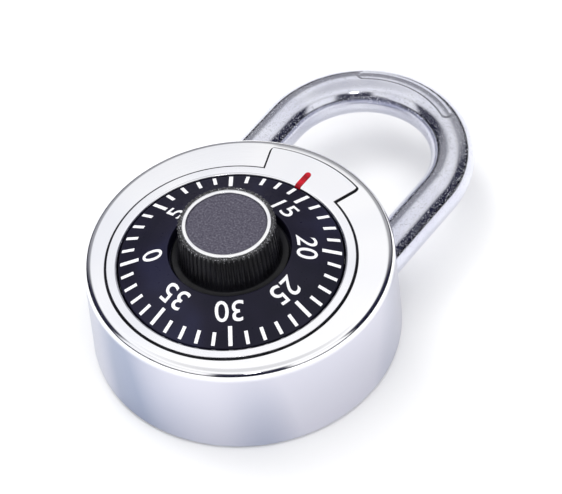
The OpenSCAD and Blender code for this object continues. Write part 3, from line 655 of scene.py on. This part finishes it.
divisions = 40
number_step = 5
index_reading = 14
number_r = 11.9 * mm
number_size = 4.7 * mm
ink_t = 0.03 * mm
ink_spread = 0.025 * mm
strip_w = 0.35 * mm
marks = bmesh.new()
for number in range(0, divisions, number_step):
    text = bpy.data.curves.new("number", "FONT")
    text.body = str(number)
    text.size = number_size
    text.align_x, text.align_y = "CENTER", "CENTER"
    text.offset = ink_spread
    text.extrude = ink_t / 2
    text.resolution_u = 5
    text.space_character = 1.02
    text_piece = bpy.data.objects.new("number", text)
    scene.collection.objects.link(text_piece)
    bpy.context.view_layer.update()
    mesh = bpy.data.meshes.new_from_object(text_piece)
    bpy.data.objects.remove(text_piece)
    digits = bmesh.new()
    digits.from_mesh(mesh)
    bpy.data.meshes.remove(mesh)
    bmesh.ops.remove_doubles(digits, verts=digits.verts, dist=1e-6)
    low_y = min(v.co.y for v in digits.verts)
    high_y = max(v.co.y for v in digits.verts)
    bmesh.ops.translate(digits, verts=digits.verts, vec=(0, -(low_y + high_y) / 2, 0))
    reach = max(abs(v.co.x) for v in digits.verts)
    cut = -reach + strip_w
    while cut < reach:
        bmesh.ops.bisect_plane(digits, geom=digits.verts[:] + digits.edges[:] + digits.faces[:],
                               plane_co=(cut, 0, 0), plane_no=(1, 0, 0))
        cut += strip_w
    turn = math.pi / 2 - (number - index_reading) * math.tau / divisions
    for vert in digits.verts:
        r = number_r + vert.co.y * math.cos(dial_slope)
        angle = turn - vert.co.x / r
        z = cone_z(r) + ink_t / 2 + vert.co.z
        vert.co = (r * math.cos(angle), dial_y + r * math.sin(angle), z)
    flat = bpy.data.meshes.new("number")
    digits.to_mesh(flat)
    digits.free()
    marks.from_mesh(flat)
    bpy.data.meshes.remove(flat)
bmesh.ops.dissolve_degenerate(marks, edges=marks.edges, dist=1e-7)
bmesh.ops.recalc_face_normals(marks, faces=marks.faces)
add_object(marks, "dial_numbers", white_ink, "dial_and_cam")

# ---------------------------------------------------------------- knob
# The knob is moulded black plastic with sixty upright flutes for grip and a plain flange at its
# foot. It tapers a little and is sunk on top for the ring and the cap.

knob_low, knob_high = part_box("knob")
knob_foot_r = (knob_high.x - knob_low.x) / 2
knob_z, knob_top = knob_low.z, knob_high.z
knob_side_z = knob_z + 0.9 * mm
knob_base_r = 7.9 * mm
knob_top_r = 7.5 * mm
knob_recess_r = 6.85 * mm
knob_recess = 0.6 * mm
knob_edge = 0.35 * mm
flutes = 60
flute_r = 0.24 * mm
flute_foot = knob_side_z + knob_edge
flute_steps = 12
flute_fade = 0.2 * mm
knob_fillet = 0.25 * mm
knob = turned([(spindle_hole, knob_z, 0), (knob_foot_r, knob_z, 0.15 * mm),
               (knob_foot_r, knob_side_z, 0.3 * mm), (knob_base_r + knob_fillet, knob_side_z, 0),
               (knob_base_r, knob_side_z + knob_fillet, 0), (knob_base_r - 0.005 * mm, flute_foot, 0),
               (knob_base_r - 0.02 * mm, flute_foot + flute_fade, 0),
               (knob_top_r, knob_top, 0.22 * mm), (knob_recess_r, knob_top, 0.04 * mm),
               (knob_recess_r, knob_top - knob_recess, 0), (spindle_hole, knob_top - knob_recess, 0)],
              steps=flutes * flute_steps, round_steps=4)
for vert in knob.verts:
    r = Vector((vert.co.x, vert.co.y)).length
    if r < knob_recess_r + 0.02 * mm or vert.co.z < flute_foot:
        continue
    around = math.atan2(vert.co.y, vert.co.x) * flutes / math.tau
    off_middle = abs(around - round(around)) * math.tau / flutes * r
    if off_middle >= flute_r:
        continue
    rise = min(1.0, (vert.co.z - flute_foot) / flute_fade)
    side = knob_base_r + (knob_top_r - knob_base_r) * (vert.co.z - flute_foot) / (knob_top - flute_foot)
    groove = side - math.sqrt(flute_r ** 2 - off_middle ** 2) * rise
    if groove < r:
        vert.co.x, vert.co.y = vert.co.x * groove / r, vert.co.y * groove / r
bmesh.ops.translate(knob, verts=knob.verts, vec=(0, dial_y, 0))

knob_black, nodes, links, shader, surface, place = new_material(
    "knob_black", pitted, {"Per mm": 5.0, "Blotch per mm": 0.3})
tone(nodes, links, surface.outputs["Height"], shader.inputs["Roughness"], (0.3, 0.25), (0.7, 0.42))
shader.inputs["Specular IOR Level"].default_value = 0.25
split = nodes.new("ShaderNodeSeparateXYZ")
links.new(place.outputs["Object"], split.inputs[0])
# Near its top edge the knob gets a clear coat. Light gray flecks are also mixed into its base colour
# there, as painted glints on the flute crests.
gloss_and_glint_edge = nodes.new("ShaderNodeMapRange")
gloss_and_glint_edge.interpolation_type = "SMOOTHSTEP"
gloss_and_glint_edge.inputs["From Min"].default_value = knob_top - 0.6 * mm
gloss_and_glint_edge.inputs["From Max"].default_value = knob_top - 0.2 * mm
links.new(split.outputs["Z"], gloss_and_glint_edge.inputs["Value"])
links.new(gloss_and_glint_edge.outputs[0], shader.inputs["Coat Weight"])
shader.inputs["Coat Roughness"].default_value = 0.12
plain_to_painted_glint = nodes.new("ShaderNodeMix")
plain_to_painted_glint.data_type = "RGBA"
links.new(math_node(nodes, links, "MULTIPLY", gloss_and_glint_edge.outputs[0], surface.outputs["Flecks"]),
          plain_to_painted_glint.inputs["Factor"])
tone(nodes, links, surface.outputs["Blotch"], plain_to_painted_glint.inputs["A"],
     (0.35, (0.004, 0.004, 0.005)), (0.65, (0.010, 0.010, 0.013)))
# Light gray of the painted glints.
plain_to_painted_glint.inputs["B"].default_value = (0.42, 0.42, 0.46, 1)
links.new(plain_to_painted_glint.outputs["Result"], shader.inputs["Base Color"])
relief(nodes, links, surface.outputs["Height"], shader.inputs["Normal"], 0.010)
knob_piece = add_object(knob, "knob_moulded", knob_black, "dial_and_cam", ["knob"])
smooth_finish(knob_piece, 50)

# ---------------------------------------------------------------- knob ring
# A thin bright ring of turned and plated brass is pressed into the top of the knob.

kring_low, kring_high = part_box("knob_ring")
knob_ring_r = (kring_high.x - kring_low.x) / 2
knob_ring_w = 0.68 * mm
knob_ring_in = knob_ring_r - knob_ring_w
bright_ring, nodes, links, shader, surface, place = new_material(
    "bright_ring", turned_grain, {"Axis y": dial_y, "Lines per mm": 8.0, "Bands": 2.0})
shader.inputs["Metallic"].default_value = 1.0
tone(nodes, links, surface.outputs["Bands"], shader.inputs["Base Color"],
     (0.36, (0.88, 0.88, 0.92)), (0.62, (0.97, 0.97, 0.98)))
tone(nodes, links, surface.outputs["Height"], shader.inputs["Roughness"], (0.3, 0.10), (0.7, 0.2))
relief(nodes, links, surface.outputs["Height"], shader.inputs["Normal"], 0.001)
knob_ring = turned([(knob_ring_in, kring_low.z, 0), (knob_ring_r, kring_low.z, 0),
                    (knob_ring_r, kring_high.z, 0.15 * mm), (knob_ring_in, kring_high.z, 0.15 * mm)],
                   centre_y=dial_y)
knob_ring_piece = add_object(knob_ring, "knob_ring_turned", bright_ring, "dial_and_cam",
                             ["knob_ring"])
smooth_finish(knob_ring_piece)

# ---------------------------------------------------------------- knob cap
# The cap is a gray disc with a fine matt texture, set into the ring just below its edge.

cap_low, cap_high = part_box("knob_cap")
cap_r = (cap_high.x - cap_low.x) / 2
cap_gray, nodes, links, shader, surface, place = new_material(
    "cap_gray", pitted, {"Per mm": 3.2, "Blotch per mm": 0.12})
tone(nodes, links, surface.outputs["Height"], shader.inputs["Base Color"],
     (0.30, (0.045, 0.041, 0.062)), (0.52, (0.078, 0.073, 0.100)), (0.74, (0.140, 0.134, 0.165)))
shader.inputs["Specular IOR Level"].default_value = 0.25
tone(nodes, links, surface.outputs["Blotch"], shader.inputs["Roughness"], (0.3, 0.5), (0.7, 0.62))
relief(nodes, links, surface.outputs["Height"], shader.inputs["Normal"], 0.035)
cap = turned([(0, cap_low.z, 0), (cap_r, cap_low.z, 0), (cap_r, cap_high.z, 0.05 * mm),
              (0, cap_high.z, 0)], centre_y=dial_y)
cap_piece = add_object(cap, "knob_cap_textured", cap_gray, "dial_and_cam",
                       ["knob_cap"])
smooth_finish(cap_piece)

# ---------------------------------------------------------------- shackle
# The shackle is a bent rod of hardened steel, ground and chrome plated, with chamfered ends, a
# notch for the lever, a groove for its retaining ring and a blank panel stamped on the bow.

toe_end = 10 * mm
heel_end = rod_low.y
bow_y = rod_high.y - leg_x - rod_r
chamfer = 0.8 * mm
groove_low, groove_high = heel_end + 2.0 * mm, heel_end + 2.9 * mm
groove_lean = 0.01 * mm
groove_r = rod_r - 0.8 * mm
rod_segments = 144
bow_steps = 240
bm = bmesh.new()
start = Matrix.Translation((leg_x, toe_end, rod_z)) @ Matrix.Rotation(-math.pi / 2, 4, "X")
bmesh.ops.create_circle(bm, cap_ends=True, radius=rod_r - chamfer, segments=rod_segments,
                        matrix=start)


def draw_rod(bm, faces, stations, x):
    """Draws the rod's end face on along Y; each station is (y, radius)"""
    for y, radius in stations:
        out = bmesh.ops.extrude_face_region(bm, geom=faces)["geom"]
        if len(bm.faces) > rod_segments + 2:
            bmesh.ops.delete(bm, geom=faces, context="FACES_ONLY")
        faces = [g for g in out if isinstance(g, bmesh.types.BMFace)]
        verts = [g for g in out if isinstance(g, bmesh.types.BMVert)]
        middle = Vector((x, verts[0].co.y, rod_z))
        now = (verts[0].co - middle).length
        bmesh.ops.scale(bm, verts=verts, vec=(radius / now, 1, radius / now),
                        space=Matrix.Translation(-middle))
        bmesh.ops.translate(bm, verts=verts, vec=(0, y - middle.y, 0))
    return faces


end = draw_rod(bm, bm.faces[:], [(toe_end + chamfer, rod_r), (bow_y, rod_r)], leg_x)
bow = bmesh.ops.spin(bm, geom=end, cent=(0, bow_y, rod_z), axis=(0, 0, 1), dvec=(0, 0, 0),
                     angle=math.pi, steps=bow_steps, use_merge=False, use_duplicate=False)
bmesh.ops.delete(bm, geom=end, context="FACES_ONLY")
end = [g for g in bow["geom_last"] if isinstance(g, bmesh.types.BMFace)]
heel_stations = [(groove_high, rod_r), (groove_high - groove_lean, groove_r),
                 (groove_low + groove_lean, groove_r), (groove_low, rod_r),
                 (heel_end + chamfer, rod_r), (heel_end, rod_r - chamfer)]
draw_rod(bm, end, heel_stations, -leg_x)
bmesh.ops.recalc_face_normals(bm, faces=bm.faces)

panel_half_angle = math.radians(32)
panel_half_w = 1.0 * mm
panel_edge = 0.28 * mm
panel_depth = 0.18 * mm
panel_tilt = math.radians(6)
panel_half_l = panel_half_angle * leg_x
for vert in bm.verts:
    if vert.co.y < bow_y - 0.001 * mm or vert.co.z < rod_z:
        continue
    out = Vector((vert.co.x, vert.co.y - bow_y))
    bend = math.atan2(out.x, out.y)
    along = max(0.0, abs(bend) * leg_x - panel_half_l)
    lean = math.atan2(out.length - leg_x, vert.co.z - rod_z)
    inside = panel_half_w - math.hypot(along, (lean - panel_tilt) * rod_r)
    sunk = min(1.0, max(0.0, inside / panel_edge))
    if sunk:
        depth = panel_depth * sunk * sunk * (3 - 2 * sunk)
        middle = Vector((math.sin(bend) * leg_x, bow_y + math.cos(bend) * leg_x, rod_z))
        vert.co += (middle - vert.co).normalized() * depth

notch_depth = 1.8 * mm
notch_h = 3.1 * mm
notch_top = toe_end + 7.15 * mm
notch_low = toe_end + 4.85 * mm
notch_foot = 0.35 * mm
notch_past = 1 * mm
inner_side = leg_x - rod_r
notch = bmesh.new()
corners = [(inner_side - notch_past, notch_top), (inner_side + notch_depth, notch_top),
           (inner_side + notch_depth, notch_low), (inner_side + notch_foot, toe_end - notch_past),
           (inner_side - notch_past, toe_end - notch_past)]
outline = notch.faces.new([notch.verts.new((x, y, rod_z - notch_h / 2)) for x, y in corners])
raised = bmesh.ops.extrude_face_region(notch, geom=[outline])["geom"]
raised = [g for g in raised if isinstance(g, bmesh.types.BMVert)]
bmesh.ops.translate(notch, verts=raised, vec=(0, 0, notch_h))
bmesh.ops.recalc_face_normals(notch, faces=notch.faces)
rod = combine(bm, notch, "DIFFERENCE")

shackle_chrome, nodes, links, shader, surface, place = new_material(
    "shackle_chrome", pitted, {"Per mm": 5.0, "Blotch per mm": 0.10})
shader.inputs["Metallic"].default_value = 1.0
tone(nodes, links, surface.outputs["Blotch"], shader.inputs["Base Color"],
     (0.35, (0.64, 0.65, 0.75)), (0.65, (0.75, 0.76, 0.83)))
tone(nodes, links, surface.outputs["Flecks"], shader.inputs["Roughness"], (0.0, 0.14), (1.0, 0.34))
relief(nodes, links, surface.outputs["Flecks"], shader.inputs["Normal"], 0.018)
shackle = add_object(rod, "shackle_rod", shackle_chrome, "shackle_group",
                     ["shackle"])
smooth_finish(shackle, 28)

# ---------------------------------------------------------------- works inside the case
# The wheel pack, the lever and their shafts are stamped brass and plain plated steel. Clips,
# washers and springs are blued spring steel.

stamped_brass, nodes, links, shader, surface, place = new_material(
    "stamped_brass", turned_grain, {"Axis y": dial_y, "Lines per mm": 4.0, "Bands": 2.5})
shader.inputs["Metallic"].default_value = 1.0
tone(nodes, links, surface.outputs["Bands"], shader.inputs["Base Color"],
     (0.35, (0.52, 0.36, 0.13)), (0.65, (0.72, 0.54, 0.24)))
tone(nodes, links, surface.outputs["Height"], shader.inputs["Roughness"], (0.3, 0.3), (0.7, 0.45))
relief(nodes, links, surface.outputs["Height"], shader.inputs["Normal"], 0.003)

plated_steel, nodes, links, shader, surface, place = new_material(
    "plain_plated_steel", pitted, {"Per mm": 3.0, "Blotch per mm": 0.25})
shader.inputs["Metallic"].default_value = 1.0
tone(nodes, links, surface.outputs["Blotch"], shader.inputs["Base Color"],
     (0.35, (0.30, 0.31, 0.33)), (0.65, (0.48, 0.48, 0.50)))
tone(nodes, links, surface.outputs["Height"], shader.inputs["Roughness"], (0.3, 0.32), (0.7, 0.5))
relief(nodes, links, surface.outputs["Height"], shader.inputs["Normal"], 0.006)

spring_steel, nodes, links, shader, surface, place = new_material(
    "spring_steel", pitted, {"Per mm": 4.0, "Blotch per mm": 0.4})
shader.inputs["Metallic"].default_value = 1.0
tone(nodes, links, surface.outputs["Blotch"], shader.inputs["Base Color"],
     (0.35, (0.24, 0.26, 0.34)), (0.65, (0.46, 0.48, 0.55)))
tone(nodes, links, surface.outputs["Height"], shader.inputs["Roughness"], (0.3, 0.22), (0.7, 0.36))
relief(nodes, links, surface.outputs["Height"], shader.inputs["Normal"], 0.003)

for name in ("drive_cam", "middle_wheel", "rear_wheel", "wheel_spacer"):
    refinish(name, stamped_brass)
for name in ("back_plate", "spindle", "cam_drive_pin", "middle_wheel_pin", "rear_wheel_pin", "wheel_post",
             "locking_lever", "lever_pivot", "spring_post", "shackle_guides"):
    refinish(name, plated_steel)
for name in ("dial_spring_washer", "wheel_clip", "tension_washer", "lever_clip", "lever_spring",
             "shackle_retaining_ring"):
    refinish(name, spring_steel)
